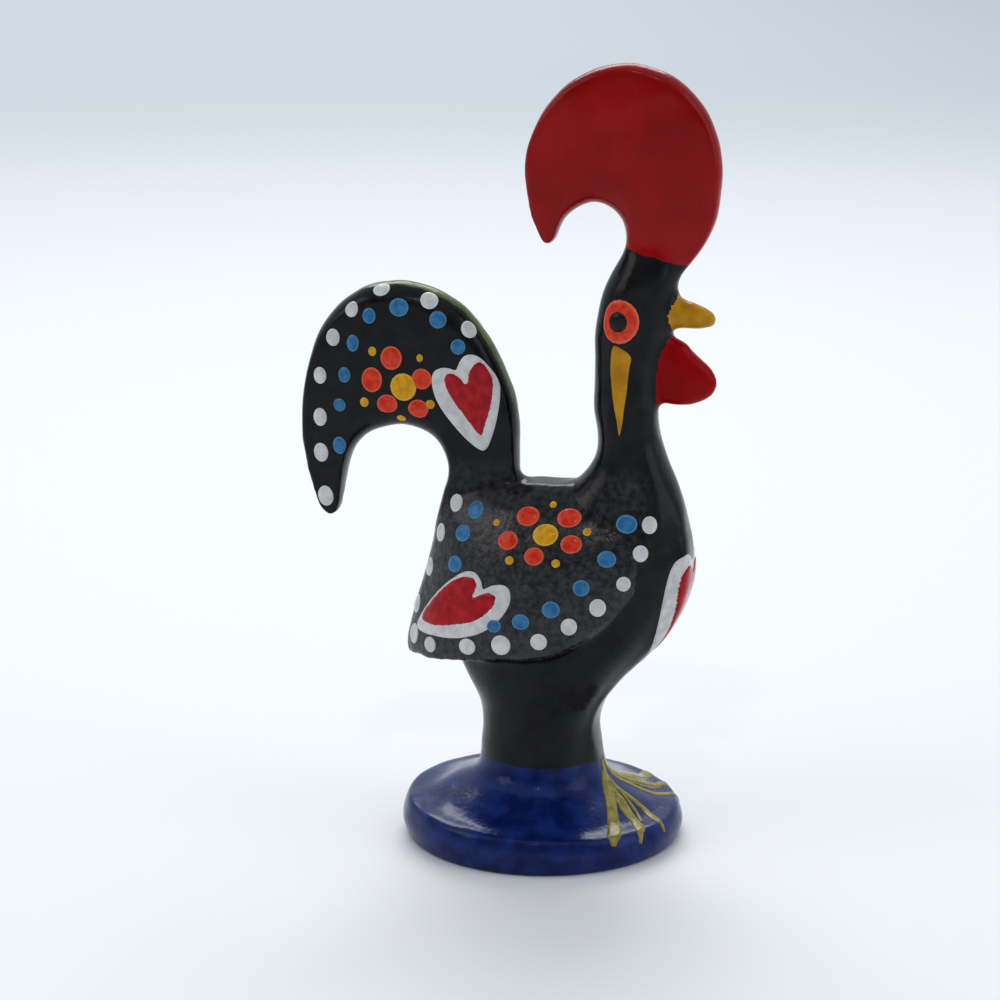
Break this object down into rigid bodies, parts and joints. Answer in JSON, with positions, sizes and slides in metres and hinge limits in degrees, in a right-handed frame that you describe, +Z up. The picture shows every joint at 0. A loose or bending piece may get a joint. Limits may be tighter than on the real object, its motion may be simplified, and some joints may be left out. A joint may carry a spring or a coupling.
{
  "type": "rooster_ornament",
  "caption": "Hand-painted clay rooster ornament on a round blue foot, 120 mm tall, with red comb and wattle, hooked tail, flared wings, and painted hearts, flowers and dots.",
  "frame": {"origin": "centre of the foot's resting ring, on the supporting surface", "axes": "+X is where the beak points, +Y is the rooster's left, +Z is up"},
  "size_m": [0.0648, 0.044, 0.1199],
  "materials": {
    "blue_foot": "gloss",
    "black_body": "gloss",
    "black_wing": "gloss",
    "black_tail": "gloss",
    "red_comb": "gloss",
    "yellow_beak": "gloss",
    "red_wattle": "gloss"
  },
  "bodies": {
    "root": {"base": "blue_foot", "body_right_half": "black_body", "body_left_half": "black_body", "right_wing": "black_wing", "left_wing": "black_wing", "tail": "black_tail", "comb": "red_comb", "beak": "yellow_beak", "wattle": "red_wattle"}
  },
  "joints": []
}
